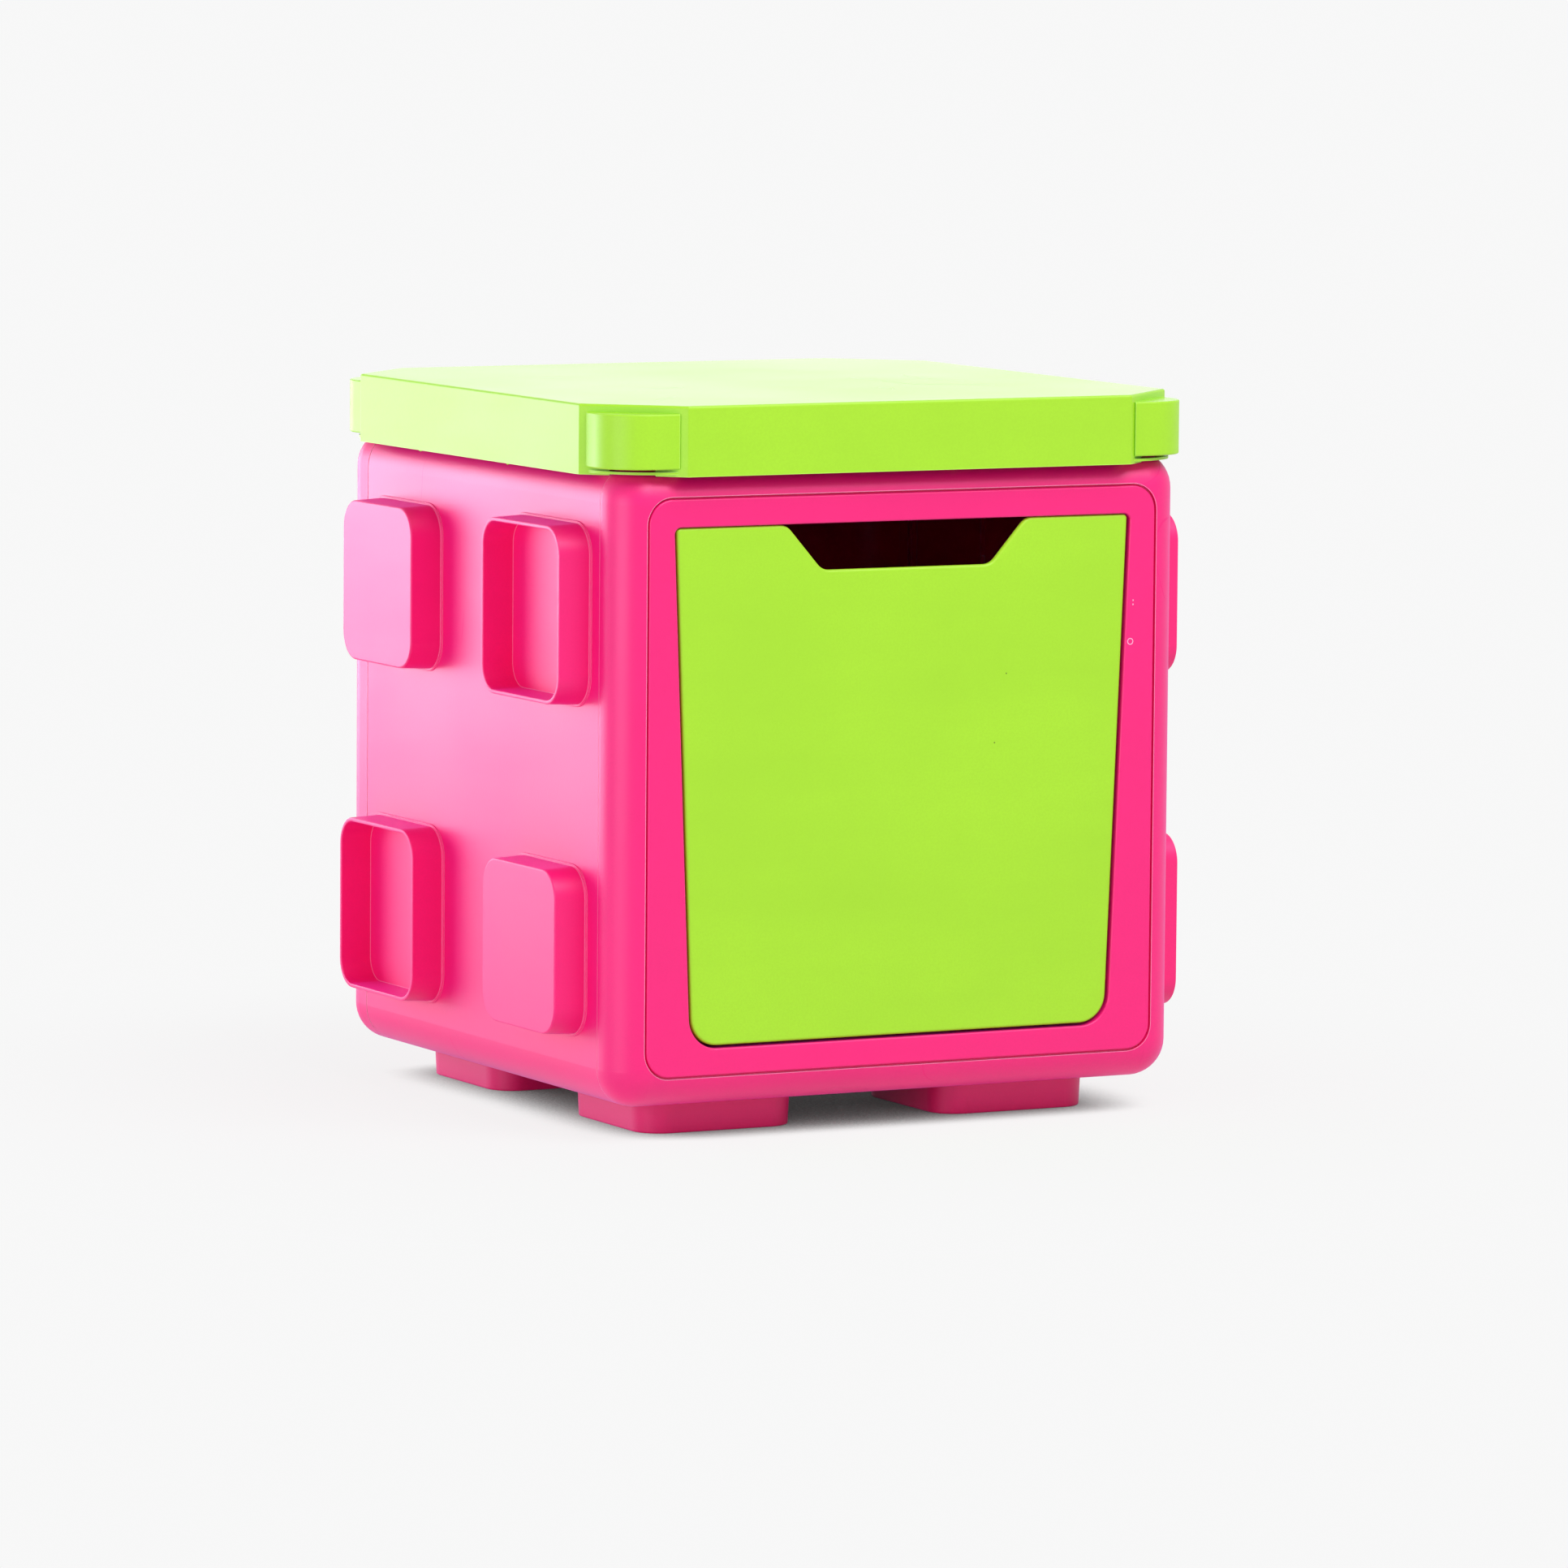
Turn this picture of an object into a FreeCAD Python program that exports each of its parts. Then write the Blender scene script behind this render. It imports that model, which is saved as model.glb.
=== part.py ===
"""Cube storage box with interlocking side lugs, a flap door and a lift-off lid. Units are millimetres.

The origin is on the floor under the middle of the box. +X is the right side seen from the front, +Y runs
to the back and +Z is up. The case is a sleeve closed by a back cover and a front frame; lug inserts snap
into its walls.
"""
import FreeCAD, Part
import math
import os
from FreeCAD import Placement, Rotation, Vector

# ---- Driving dimensions -------------------------------------------------------------------------------

BODY = 350.0                 # width, depth and height of the cube body
WALL = 3.0                   # wall of the body and of the lid
RIB = 1.8                    # thickness of every stiffening rib
EDGE_R = 21.0                # round of the body's outer edges
FOOT = 18.8                  # how far every lug stands out of its wall, so also the height of the feet
LUG_PITCH = 92.0             # lug centres from the middle of their wall, both ways

HALF = BODY / 2
BASE_Z = FOOT                # underside of the body
TOP_Z = BASE_Z + BODY        # top of the body
MID_Z = BASE_Z + HALF
FRONT_Y = -HALF

# Lug inserts: half sizes are of the square section at the outer end
STUD_HALF = 45.1
SOCKET_HALF = 48.5
FOOT_HALF = 47.0
TOP_SOCKET_HALF = 50.4
LUG_CORNER_R = 16.0
LUG_DRAFT = 0.9              # how much larger the half size is at the wall
LUG_WALL = 2.2
LUG_LIP = 1.3                # flange round the base of each lug
LUG_LIP_HEIGHT = 0.9
LUG_FLOOR = 0.6              # a socket's floor above the outside of the wall
LUG_RIB_X = 14.0             # cross ribs inside a closed lug
STUD_EDGE_R = 1.0
RIM_EDGE_R = 0.7
SOCKET_DRAFT = 0.4           # how much wider a socket is at its mouth than at its floor
NECK_HALF = 43.0             # part of an insert that passes through the wall
NECK_CORNER_R = 14.0
NECK_DEPTH = 5.2
NECK_FIT = 0.15
BARB_LENGTH = 16.0
BARB_REACH = 1.1

# Back cover
BACK_SEAM_Y = 144.0          # middle of the groove between sleeve and cover
BACK_SEAM_GAP = 0.8
TONGUE_LENGTH = 7.5
TONGUE_WALL = 2.2
TONGUE_FIT = 0.2
BRIDGE_BITE = 1.0            # how deep the tongue's root reaches into the cover's wall
BACK_FIELD_HALF = 140.0      # shallow field in the back wall
BACK_FIELD_DEPTH = 0.8
BACK_FIELD_R = 20.0

# Mould line round the sleeve, just behind its front rounding
WITNESS_Y = -152.0
WITNESS_WIDTH = 0.4
WITNESS_DEPTH = 0.15

# Front frame, set into the front of the sleeve
FRAME_Z = MID_Z - 0.4        # middle of the frame
SEAM_HALF_X = 157.0
SEAM_HALF_Z = 157.6
SEAM_R = 14.4
SEAM_GAP = 1.2
FRAME_THICK = 3.0
FRAME_EDGE_R = 1.0
SEAT_HALF = 150.0            # clear half width inside the ledge that the frame sits on
SEAT_THICK = 3.4
SEAT_REACH = 14.0
OPEN_LOW_Z = 50.8            # doorway
OPEN_HIGH_Z = 335.1
OPEN_LOW_HALF = 130.0
OPEN_SLOPE = 0.0395          # sideways flare of the doorway per millimetre of height
OPEN_LOW_R = 17.6
OPEN_HIGH_R = 3.8
OPEN_EDGE_R = 1.0
COLLAR_WALL = 2.6
COLLAR_BACK_Y = -158.0
STOP_REACH = 5.0             # ledge behind the door's edge that stops it when it closes
STOP_THICK = 2.4
STOP_LOW_Z = 120.0
STOP_SIDE_X = 96.0           # the ledge leaves the finger notch free
TAB_WIDTH = 14.0
TAB_THICK = 3.0
TAB_BACK_Y = -162.0
TAB_GAP = 0.3                # between a tab and the ledge beside it
TAB_CATCH = 2.0
TAB_CATCH_GAP = 0.2
TAB_PITCH = 100.0

# Door
DOOR_GAP = 1.6               # at the sides and at the bottom
DOOR_TOP_GAP = 0.4
DOOR_RECESS = 1.0
DOOR_THICK = 2.4
DOOR_EDGE_R = 1.6
DOOR_RIM_WALL = 2.2
DOOR_RIM_BACK_Y = -161.0
DOOR_RIB_BACK_Y = -165.0
DOOR_RIBS_Z = (112.0, 174.0, 236.0, 298.0)
DOOR_RIBS_X = (-84.0, -28.0, 28.0, 84.0)
NOTCH_X = 1.6                # middle of the finger notch
NOTCH_TOP_HALF = 74.2
NOTCH_LOW_HALF = 52.0
NOTCH_DEPTH = 25.2
NOTCH_R = 9.0
NOTCH_RIM_CLEAR = 14.0       # the rim stops this far beside the notch

# Door hinge
PIVOT_Y = -167.5
PIVOT_Z = 76.0
PIN_R = 2.5
PIN_RUN = 0.05               # radial running clearance in the door's bosses
PIN_IN_X = 106.0
PIN_HEAD_R = 4.0
PIN_HEAD = 2.4
PIN_CHAMFER = 0.5
BOSS_R = 6.0
BOSS_IN_X = 103.0
BOSS_OUT_X = 123.5
EAR_OUT_X = 138.5
EAR_LOW_Z = 62.0
EAR_HIGH_Z = 90.0
EAR_BACK_Y = -155.0
KEY_R = 10.0                 # stop key on the boss
KEY_HALF_ANGLE = 11.0
KEY_OUT_X = 131.8
KEY_CLEAR = 0.4
KEY_CLEAR_ANGLE = 2.5
DOOR_SWING = 90.0

# Lid
LID_HALF = 182.0
LID_LOW_Z = 362.8
LID_HIGH_Z = 401.1
LID_CHAMFER_X = 45.0         # cut corners, along the front and along the sides
LID_CHAMFER_Y = 42.0
LID_EDGE_R = 1.5
LID_RIB_Z = TOP_Z + 0.3
LID_RIB_X = 37.5             # the ribs stand between the top sockets and centre the lid
FLANGE_HALF = 178.0
FLANGE_R = 36.0
FLANGE_LOW_Z = 364.0
FLANGE_HIGH_Z = 365.4
BODY_CLEAR_HALF = 169.4      # what the lid's corners leave free for the top of the body
BODY_CLEAR_R = 15.4

# Corner clips, set into the lid's cut corners
CLIP_HALF = 179.5
CLIP_R = 26.0
CLIP_LOW_Z = 366.9
CLIP_HIGH_Z = 396.8
CLIP_END_X = 140.9
CLIP_END_Y = 143.4
CLIP_EDGE_R = 0.9
CLIP_WALL = 2.4
CLIP_END_WALL = 5.0
CLIP_BACK_WALL = 3.0         # measured along Y, against the lid's cut corner
TONGUE_HALF = 9.0
TONGUE_LOW_Z = 376.0
TONGUE_HIGH_Z = 382.0
TONGUE_REACH = 7.0
HOOK_DEPTH = 1.5
HOOK_GAP = 0.4               # between the hook and the inside of the lid
SLOT_FIT = 0.3

# ---- Helpers ------------------------------------------------------------------------------------------


def in_plan(z):
    """Place flat points (x, y) at the height z."""
    return lambda u, v: Vector(u, v, z)


def in_front(y):
    """Place flat points (x, z) at the depth y."""
    return lambda u, v: Vector(u, y, v)


def outline(corners, radii, place):
    """Closed wire through flat corners, each rounded by its own radius."""
    starts, middles, ends = [], [], []
    for i, corner in enumerate(corners):
        here = Vector(corner[0], corner[1], 0)
        before = Vector(*corners[i - 1], 0) - here
        after = Vector(*corners[(i + 1) % len(corners)], 0) - here
        before.normalize()
        after.normalize()
        half_angle = before.getAngle(after) / 2
        back_off = radii[i] / math.tan(half_angle)
        inward = (before + after).normalize()
        centre = here + inward * (radii[i] / math.sin(half_angle))
        starts.append(here + before * back_off)
        middles.append(centre - inward * radii[i])
        ends.append(here + after * back_off)
    edges = []
    for i in range(len(corners)):
        a, m, b = (place(p.x, p.y) for p in (starts[i], middles[i], ends[i]))
        if radii[i] > 0:
            edges.append(Part.Arc(a, m, b).toShape())
        onward = place(starts[(i + 1) % len(corners)].x, starts[(i + 1) % len(corners)].y)
        if (onward - b).Length > 1e-6:
            edges.append(Part.LineSegment(b, onward).toShape())
    return Part.Wire(edges)


def rectangle(half_u, half_v, r, place, centre=(0.0, 0.0)):
    """Rounded rectangle."""
    u, v = centre
    corners = [(u - half_u, v - half_v), (u + half_u, v - half_v),
               (u + half_u, v + half_v), (u - half_u, v + half_v)]
    return outline(corners, [r] * 4, place)


def slab(wire, direction):
    """Solid made by pushing a closed wire's face along a vector."""
    return Part.Face(wire).extrude(direction)


def box(low, high):
    """Box between two corners."""
    low, high = Vector(*low), Vector(*high)
    size = high - low
    return Part.makeBox(size.x, size.y, size.z, low)


def rounded_body(inset):
    """The cube body's outer form, made smaller by inset on every side."""
    low = Vector(-HALF + inset, -HALF + inset, BASE_Z + inset)
    side = BODY - 2 * inset
    cube = Part.makeBox(side, side, side, low)
    return cube.makeFillet(EDGE_R - inset, cube.Edges)


def edges_where(shape, test):
    """Edges of a shape whose bounding box passes a test."""
    return [e for e in shape.Edges if test(e.BoundBox)]


def mirrored(shape):
    """The same shape on the other side of the middle plane."""
    return shape.mirror(Vector(0, 0, 0), Vector(1, 0, 0))


def one_solid(shape):
    """The cleaned result of a boolean, which has to be one closed solid."""
    solids = shape.removeSplitter().Solids
    if len(solids) != 1 or not solids[0].isValid():
        raise ValueError("expected one valid solid, got %d" % len(solids))
    return solids[0]


# ---- Lug inserts --------------------------------------------------------------------------------------
# Each is drawn standing on the plane z = 0, the outside of its wall, and then turned to where it belongs.


def drafted(half, r, z_wall, z_end, draft):
    """Square prism that is wider at the wall than at its outer end."""
    at_wall = rectangle(half + draft, half + draft, r + draft, in_plan(z_wall))
    at_end = rectangle(half, half, r, in_plan(z_end))
    return Part.makeLoft([at_wall, at_end], True, True)


def lug_base(half):
    """Flange that sits on the wall, and the hollow neck with its four snap barbs."""
    lip_half = half + LUG_DRAFT + LUG_LIP
    lip = slab(rectangle(lip_half, lip_half, LUG_CORNER_R + LUG_DRAFT + LUG_LIP, in_plan(0)),
               Vector(0, 0, LUG_LIP_HEIGHT))
    lip = lip.makeFillet(LUG_LIP_HEIGHT / 2, edges_where(lip, lambda b: b.ZMin > LUG_LIP_HEIGHT - 0.01))
    neck = slab(rectangle(NECK_HALF, NECK_HALF, NECK_CORNER_R, in_plan(-NECK_DEPTH)),
                Vector(0, 0, NECK_DEPTH + LUG_LIP_HEIGHT))
    barb_section = Part.makePolygon([
        Vector(NECK_HALF - 0.5, 0, -WALL), Vector(NECK_HALF + BARB_REACH, 0, -WALL),
        Vector(NECK_HALF, 0, -NECK_DEPTH), Vector(NECK_HALF - 0.5, 0, -NECK_DEPTH),
        Vector(NECK_HALF - 0.5, 0, -WALL)])
    barb = slab(barb_section, Vector(0, BARB_LENGTH, 0))
    barb.translate(Vector(0, -BARB_LENGTH / 2, 0))
    barbs = []
    for quarter in range(4):
        turned = barb.copy()
        turned.rotate(Vector(0, 0, 0), Vector(0, 0, 1), 90 * quarter)
        barbs.append(turned)
    return neck.fuse([lip] + barbs)


def stud(half):
    """Closed lug: a ribbed cup with its mouth towards the inside of the box."""
    cup = drafted(half, LUG_CORNER_R, 0, FOOT, LUG_DRAFT)
    cup = cup.makeFillet(STUD_EDGE_R, edges_where(cup, lambda b: b.ZMin > FOOT - 0.01))
    inner = half - LUG_WALL
    inner_r = LUG_CORNER_R - LUG_WALL
    chamber = slab(rectangle(inner, inner, inner_r, in_plan(LUG_WALL)), Vector(0, 0, FOOT - 2 * LUG_WALL))
    mouth_half = NECK_HALF - LUG_WALL
    mouth = slab(rectangle(mouth_half, mouth_half, NECK_CORNER_R - LUG_WALL, in_plan(-NECK_DEPTH - 1)),
                 Vector(0, 0, NECK_DEPTH + 2 * LUG_WALL))
    ribs = []
    for at in (-LUG_RIB_X, LUG_RIB_X):
        ribs.append(box((at - RIB / 2, -half, -NECK_DEPTH - 1), (at + RIB / 2, half, FOOT)))
        ribs.append(box((-half, at - RIB / 2, -NECK_DEPTH - 1), (half, at + RIB / 2, FOOT)))
    return one_solid(cup.fuse(lug_base(half)).cut(chamber.fuse(mouth).cut(ribs)))


def socket(half):
    """Open lug: a square tube with a floor, which takes a stud of the next box."""
    tube = drafted(half, LUG_CORNER_R, 0, FOOT, LUG_DRAFT)
    floor_half = half - LUG_WALL - SOCKET_DRAFT
    hollow = drafted(floor_half, LUG_CORNER_R - LUG_WALL - SOCKET_DRAFT, FOOT, LUG_FLOOR, SOCKET_DRAFT)
    body = tube.fuse(lug_base(half)).cut(hollow)
    rim = edges_where(body, lambda b: b.ZMin > FOOT - 0.01)
    body = body.makeFillet(RIM_EDGE_R, rim)
    pocket_half = NECK_HALF - LUG_WALL
    pocket = slab(rectangle(pocket_half, pocket_half, NECK_CORNER_R - LUG_WALL, in_plan(-NECK_DEPTH - 1)),
                  Vector(0, 0, NECK_DEPTH + 1 + LUG_FLOOR - LUG_WALL))
    return one_solid(body.cut(pocket))


def on_side(lug, side, y, z):
    """Put a lug on the left (-1) or right (+1) wall."""
    placed = lug.copy()
    placed.Placement = Placement(Vector(side * HALF, y, z), Rotation(Vector(0, 1, 0), 90 * side))
    return placed


def on_level(lug, top, x, y):
    """Put a lug on the top wall or, with top false, under the bottom wall."""
    placed = lug.copy()
    height = TOP_Z if top else BASE_Z
    placed.Placement = Placement(Vector(x, y, height), Rotation(Vector(1, 0, 0), 0 if top else 180))
    return placed


# ---- Case ---------------------------------------------------------------------------------------------


def lug_windows():
    """Holes in the four walls for the necks of the lug inserts."""
    half = NECK_HALF + NECK_FIT
    r = NECK_CORNER_R + NECK_FIT
    through = slab(rectangle(half, half, r, in_plan(-3 * WALL)), Vector(0, 0, 5 * WALL))
    holes = []
    for a in (-LUG_PITCH, LUG_PITCH):
        for b in (-LUG_PITCH, LUG_PITCH):
            holes.append(on_side(through, -1, a, MID_Z + b))
            holes.append(on_side(through, 1, a, MID_Z + b))
            holes.append(on_level(through, True, a, b))
            holes.append(on_level(through, False, a, b))
    return holes


def main_shell():
    """Sleeve: left, right, top and bottom walls and the rounded rim round the front."""
    reach = 2 * BODY
    shell = rounded_body(0).cut(rounded_body(WALL))
    shell = shell.common(box((-reach, -reach, -reach), (reach, BACK_SEAM_Y - BACK_SEAM_GAP / 2, reach)))
    aperture = rectangle(SEAM_HALF_X + SEAM_GAP / 2, SEAM_HALF_Z + SEAM_GAP / 2, SEAM_R + SEAM_GAP / 2,
                         in_front(FRONT_Y - 1), (0, FRAME_Z))
    shell = shell.cut(slab(aperture, Vector(0, 1 + 2 * WALL, 0)))
    seat_y = FRONT_Y + FRAME_THICK
    seat_out = SEAT_HALF + SEAT_REACH
    seat = slab(rectangle(seat_out, seat_out, SEAM_R, in_front(seat_y), (0, FRAME_Z)),
                Vector(0, SEAT_THICK, 0))
    seat_hole = slab(rectangle(SEAT_HALF, SEAT_HALF, SEAM_R, in_front(seat_y - 1), (0, FRAME_Z)),
                     Vector(0, SEAT_THICK + 2, 0))
    shell = shell.fuse(seat.cut(seat_hole))
    line_out = rectangle(HALF + 1, HALF + 1, EDGE_R + 1, in_front(WITNESS_Y), (0, MID_Z))
    line_in = rectangle(HALF - WITNESS_DEPTH, HALF - WITNESS_DEPTH, EDGE_R - WITNESS_DEPTH,
                        in_front(WITNESS_Y), (0, MID_Z))
    line = slab(line_out, Vector(0, WITNESS_WIDTH, 0)).cut(slab(line_in, Vector(0, WITNESS_WIDTH, 0)))
    return one_solid(shell.cut([line] + lug_windows()))


def back_cover():
    """Back wall with its rounded rim, and a tongue that slides into the sleeve."""
    reach = 2 * BODY
    start = BACK_SEAM_Y + BACK_SEAM_GAP / 2
    behind = box((-reach, start, -reach), (reach, reach, reach))
    cover = rounded_body(0).cut(rounded_body(WALL)).common(behind)
    tongue_out = WALL + TONGUE_FIT
    tongue = rounded_body(tongue_out).cut(rounded_body(tongue_out + TONGUE_WALL))
    tongue = tongue.common(box((-reach, start - TONGUE_LENGTH, -reach), (reach, start + WALL, reach)))
    bridge = rounded_body(WALL - BRIDGE_BITE).cut(rounded_body(tongue_out + TONGUE_WALL))
    bridge = bridge.common(box((-reach, start, -reach), (reach, start + WALL, reach)))
    field_deep = rectangle(BACK_FIELD_HALF, BACK_FIELD_HALF, BACK_FIELD_R,
                           in_front(HALF - BACK_FIELD_DEPTH), (0, MID_Z))
    spread = 2 * BACK_FIELD_DEPTH
    field_high = rectangle(BACK_FIELD_HALF + spread, BACK_FIELD_HALF + spread, BACK_FIELD_R + spread,
                           in_front(HALF + BACK_FIELD_DEPTH), (0, MID_Z))
    field = Part.makeLoft([field_deep, field_high], True, True)
    return one_solid(cover.fuse([tongue, bridge]).cut(field))


def doorway_corners(grow, grow_top):
    """Low left, low right, high right and high left corner of the doorway, made larger (or smaller)."""
    low, high = OPEN_LOW_Z - grow, OPEN_HIGH_Z + grow_top
    side = grow * math.hypot(1, OPEN_SLOPE)
    half_low = OPEN_LOW_HALF + side + (low - OPEN_LOW_Z) * OPEN_SLOPE
    half_high = OPEN_LOW_HALF + side + (high - OPEN_LOW_Z) * OPEN_SLOPE
    return [(-half_low, low), (half_low, low), (half_high, high), (-half_high, high)]


def doorway(grow, y, low_r, high_r):
    """Outline of the doorway, made larger (or smaller) by grow on every side."""
    return outline(doorway_corners(grow, grow), [low_r, low_r, high_r, high_r], in_front(y))


def hinge_sector(r_in, r_out, from_angle, to_angle, x_in, x_out):
    """Ring sector round the hinge axis; angles run from straight back (0) to straight up (90)."""
    section = Part.makePolygon([
        Vector(x_in, r_in, 0), Vector(x_out, r_in, 0), Vector(x_out, r_out, 0), Vector(x_in, r_out, 0),
        Vector(x_in, r_in, 0)])
    sector = Part.Face(section).revolve(Vector(0, 0, 0), Vector(1, 0, 0), to_angle - from_angle)
    sector.rotate(Vector(0, 0, 0), Vector(1, 0, 0), from_angle)
    sector.translate(Vector(0, PIVOT_Y, PIVOT_Z))
    return sector


def hinge_rod(r, x_in, x_out):
    """Round bar on the hinge axis."""
    return Part.makeCylinder(r, x_out - x_in, Vector(x_in, PIVOT_Y, PIVOT_Z), Vector(1, 0, 0))


def snap_tab():
    """Barbed tab that holds the frame behind the sleeve's ledge; drawn on the right side."""
    back = FRONT_Y + FRAME_THICK + SEAT_THICK
    x = SEAT_HALF - TAB_GAP
    section = Part.makePolygon([
        Vector(x - TAB_THICK, FRONT_Y + 1, 0), Vector(x, FRONT_Y + 1, 0), Vector(x, back + TAB_CATCH_GAP, 0),
        Vector(x + TAB_CATCH, back + TAB_CATCH_GAP, 0), Vector(x, TAB_BACK_Y, 0),
        Vector(x - TAB_THICK, TAB_BACK_Y, 0),
        Vector(x - TAB_THICK, FRONT_Y + 1, 0)])
    tab = slab(section, Vector(0, 0, TAB_WIDTH))
    tab.translate(Vector(0, 0, -TAB_WIDTH / 2))
    return tab


def front_frame():
    """Frame round the doorway: flat face, collar, door stops, hinge ears and snap tabs."""
    face_wire = rectangle(SEAM_HALF_X - SEAM_GAP / 2, SEAM_HALF_Z - SEAM_GAP / 2, SEAM_R - SEAM_GAP / 2,
                          in_front(FRONT_Y), (0, FRAME_Z))
    frame = slab(face_wire, Vector(0, FRAME_THICK, 0))
    frame = frame.makeFillet(FRAME_EDGE_R, edges_where(frame, lambda b: b.YMax < FRONT_Y + 0.01))
    collar = slab(doorway(COLLAR_WALL, FRONT_Y + 1, OPEN_LOW_R + COLLAR_WALL, OPEN_HIGH_R + COLLAR_WALL),
                  Vector(0, COLLAR_BACK_Y - FRONT_Y - 1, 0))
    ear = box((OPEN_LOW_HALF - 8, FRONT_Y + 1, EAR_LOW_Z), (EAR_OUT_X, EAR_BACK_Y, EAR_HIGH_Z))
    tabs = []
    for quarter in range(4):
        for slide in (-TAB_PITCH, 0, TAB_PITCH):
            tab = snap_tab()
            tab.translate(Vector(0, 0, slide))
            tab.rotate(Vector(0, 0, 0), Vector(0, 1, 0), 90 * quarter)
            tab.translate(Vector(0, 0, FRAME_Z))
            tabs.append(tab)
    frame = frame.fuse([collar, ear, mirrored(ear)] + tabs)
    depth = EAR_BACK_Y - FRONT_Y + 2
    frame = frame.cut(slab(doorway(0, FRONT_Y - 1, OPEN_LOW_R, OPEN_HIGH_R), Vector(0, depth, 0)))
    lip = edges_where(frame, lambda b: b.YMax < FRONT_Y + 0.01 and b.XMin > -146 and b.XMax < 146
                      and b.ZMin > OPEN_LOW_Z - 1 and b.ZMax < OPEN_HIGH_Z + 1)
    frame = frame.makeFillet(OPEN_EDGE_R, lip)
    stop = slab(doorway(1, COLLAR_BACK_Y - STOP_THICK, OPEN_LOW_R, OPEN_HIGH_R), Vector(0, STOP_THICK, 0))
    stop = stop.cut(slab(doorway(-STOP_REACH, COLLAR_BACK_Y - 2 * STOP_THICK, OPEN_LOW_R, OPEN_HIGH_R),
                         Vector(0, 3 * STOP_THICK, 0)))
    stop = stop.common(box((STOP_SIDE_X, FRONT_Y, STOP_LOW_Z), (HALF, 0, TOP_Z)))
    slot = hinge_sector(BOSS_R - 1 - KEY_CLEAR, KEY_R + KEY_CLEAR, -KEY_HALF_ANGLE - KEY_CLEAR_ANGLE,
                        DOOR_SWING + KEY_HALF_ANGLE + KEY_CLEAR_ANGLE, BOSS_OUT_X, KEY_OUT_X + 2 * KEY_CLEAR)
    hole = hinge_rod(PIN_R, BOSS_OUT_X, EAR_OUT_X + 1)
    return one_solid(frame.fuse([stop, mirrored(stop)]).cut([slot, mirrored(slot), hole, mirrored(hole)]))


# ---- Door ---------------------------------------------------------------------------------------------


def door_outline(inset, y):
    """Outline of the door, without the notch, made smaller by inset."""
    low_r = max(OPEN_LOW_R - DOOR_GAP - inset, 0.5)
    high_r = max(OPEN_HIGH_R - DOOR_GAP - inset, 0.5)
    corners = doorway_corners(-DOOR_GAP - inset, -DOOR_TOP_GAP - inset)
    return outline(corners, [low_r, low_r, high_r, high_r], in_front(y))


def notched_outline(y):
    """Outline of the door with the finger notch in its top edge."""
    low_left, low_right, high_right, high_left = doorway_corners(-DOOR_GAP, -DOOR_TOP_GAP)
    top = high_right[1]
    low = top - NOTCH_DEPTH
    corners = [low_left, low_right, high_right,
               (NOTCH_X + NOTCH_TOP_HALF, top), (NOTCH_X + NOTCH_LOW_HALF, low),
               (NOTCH_X - NOTCH_LOW_HALF, low), (NOTCH_X - NOTCH_TOP_HALF, top), high_left]
    low_r, high_r = OPEN_LOW_R - DOOR_GAP, OPEN_HIGH_R - DOOR_GAP
    return outline(corners, [low_r, low_r, high_r, NOTCH_R, NOTCH_R, NOTCH_R, NOTCH_R, high_r], in_front(y))


def door_panel():
    """Flap door: panel with finger notch, rim, ribs, hinge bosses and stop keys."""
    face_y = FRONT_Y + DOOR_RECESS
    back_y = face_y + DOOR_THICK
    panel = slab(notched_outline(face_y), Vector(0, DOOR_THICK, 0))
    panel = panel.makeFillet(DOOR_EDGE_R, edges_where(panel, lambda b: b.YMax < face_y + 0.01))
    rim_depth = DOOR_RIM_BACK_Y - back_y
    rim = slab(door_outline(0, back_y), Vector(0, rim_depth, 0))
    rim = rim.cut(slab(door_outline(DOOR_RIM_WALL, back_y - 1), Vector(0, rim_depth + 2, 0)))
    clear_half = NOTCH_TOP_HALF + NOTCH_RIM_CLEAR
    rim = rim.cut(box((NOTCH_X - clear_half, back_y - 1, DOOR_RIBS_Z[-1]),
                      (NOTCH_X + clear_half, DOOR_RIM_BACK_Y + 1, TOP_Z)))
    inside = slab(door_outline(DOOR_RIM_WALL / 2, back_y), Vector(0, rim_depth, 0))
    ribs = []
    for z in DOOR_RIBS_Z:
        ribs.append(box((-HALF, back_y, z - RIB / 2), (HALF, DOOR_RIB_BACK_Y, z + RIB / 2)))
    for x in DOOR_RIBS_X:
        ribs.append(box((x - RIB / 2, back_y, 0), (x + RIB / 2, DOOR_RIB_BACK_Y, DOOR_RIBS_Z[-1])))
    grid = ribs[0].fuse(ribs[1:]).common(inside)
    boss = hinge_rod(BOSS_R, BOSS_IN_X, BOSS_OUT_X)
    web = box((BOSS_IN_X, back_y - 1, OPEN_LOW_Z + DOOR_GAP + 1),
              (BOSS_IN_X + RIB, DOOR_RIB_BACK_Y, DOOR_RIBS_Z[0]))
    key = hinge_sector(BOSS_R - 1, KEY_R, -KEY_HALF_ANGLE, KEY_HALF_ANGLE, BOSS_OUT_X - 6, KEY_OUT_X)
    bore = hinge_rod(PIN_R + PIN_RUN, PIN_IN_X - 0.5, OPEN_LOW_HALF + 1)
    side = boss.fuse([web, key])
    door = panel.fuse([rim, grid, side, mirrored(side)])
    return one_solid(door.cut([bore, mirrored(bore)]))


def hinge_pin():
    """Right hinge pin: pressed into the frame's ear, running in the door's boss."""
    shank = hinge_rod(PIN_R, PIN_IN_X, EAR_OUT_X + 1)
    head = hinge_rod(PIN_HEAD_R, EAR_OUT_X, EAR_OUT_X + PIN_HEAD)
    pin = one_solid(shank.fuse(head))
    return pin.makeChamfer(PIN_CHAMFER, edges_where(pin, lambda b: b.XMax < PIN_IN_X + 0.01))


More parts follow.
